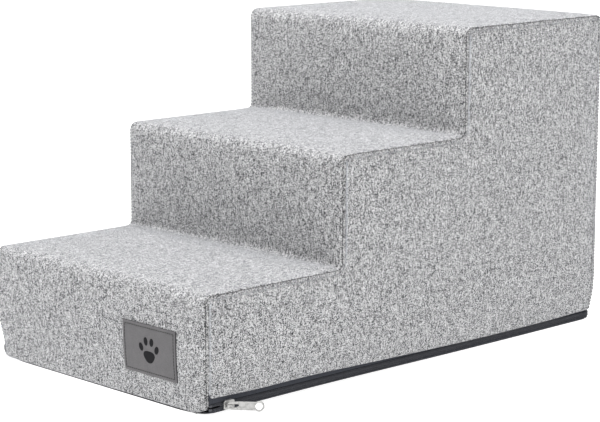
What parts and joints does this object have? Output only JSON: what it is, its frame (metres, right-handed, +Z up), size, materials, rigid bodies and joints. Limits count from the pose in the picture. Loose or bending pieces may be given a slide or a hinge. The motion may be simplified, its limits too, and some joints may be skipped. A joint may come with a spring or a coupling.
{
  "type": "pet stairs",
  "caption": "Foam pet stairs in a zipped melange fabric cover, with an anti-slip base, a patch on the front and a ringed zip pull.",
  "frame": {"origin": "on the floor, at the centre of the stairs' footprint", "axes": "-Y is the front, where the lowest step is; +Y is the back; +X is the side with the zip slider; +Z is up"},
  "size_m": [0.3259, 0.5468, 0.319],
  "materials": {
    "cover_fabric": "matte",
    "foam": "matte",
    "seam_thread": "matte",
    "base_cloth": "matte",
    "zip_thread": "matte",
    "zip_tape": "matte",
    "zip_coil": "satin",
    "zip_stop": "satin",
    "zip_metal": "satin",
    "label_leather": "satin",
    "label_thread": "matte",
    "label_print": "matte"
  },
  "bodies": {
    "stairs": {"stair_panel": "cover_fabric", "side_panel_right": "cover_fabric", "side_panel_left": "cover_fabric", "foam_slab_bottom": "foam", "foam_slab_middle": "foam", "foam_slab_top": "foam", "seam_thread_right": "seam_thread", "seam_thread_left": "seam_thread", "base_panel": "base_cloth", "base_seam_thread": "zip_thread", "zip_seam_thread_upper": "zip_thread", "zip_seam_thread_lower": "zip_thread", "zip_tape_upper": "zip_tape", "zip_tape_lower": "zip_tape", "zip_coil_upper": "zip_coil", "zip_coil_lower": "zip_coil", "zip_stops_front": "zip_stop", "zip_stop_end": "zip_stop", "label_patch": "label_leather", "label_stitching": "label_thread", "label_motif": "label_print"},
    "slider": {"slider_body": "zip_metal", "slider_bail": "zip_metal"},
    "pull": {"zip_pull": "zip_metal"}
  },
  "joints": [
    {"name": "slider_travel", "type": "slide", "parent": "stairs", "child": "slider", "axis": [0, 1, -0.0035], "range_m": [0, 0.495]},
    {"name": "pull_swing", "type": "hinge", "parent": "slider", "child": "pull", "pos_m": [0.1536, -0.2492, 0.00765], "axis": [0, 0, 1], "range_deg": [-130, 33]}
  ]
}
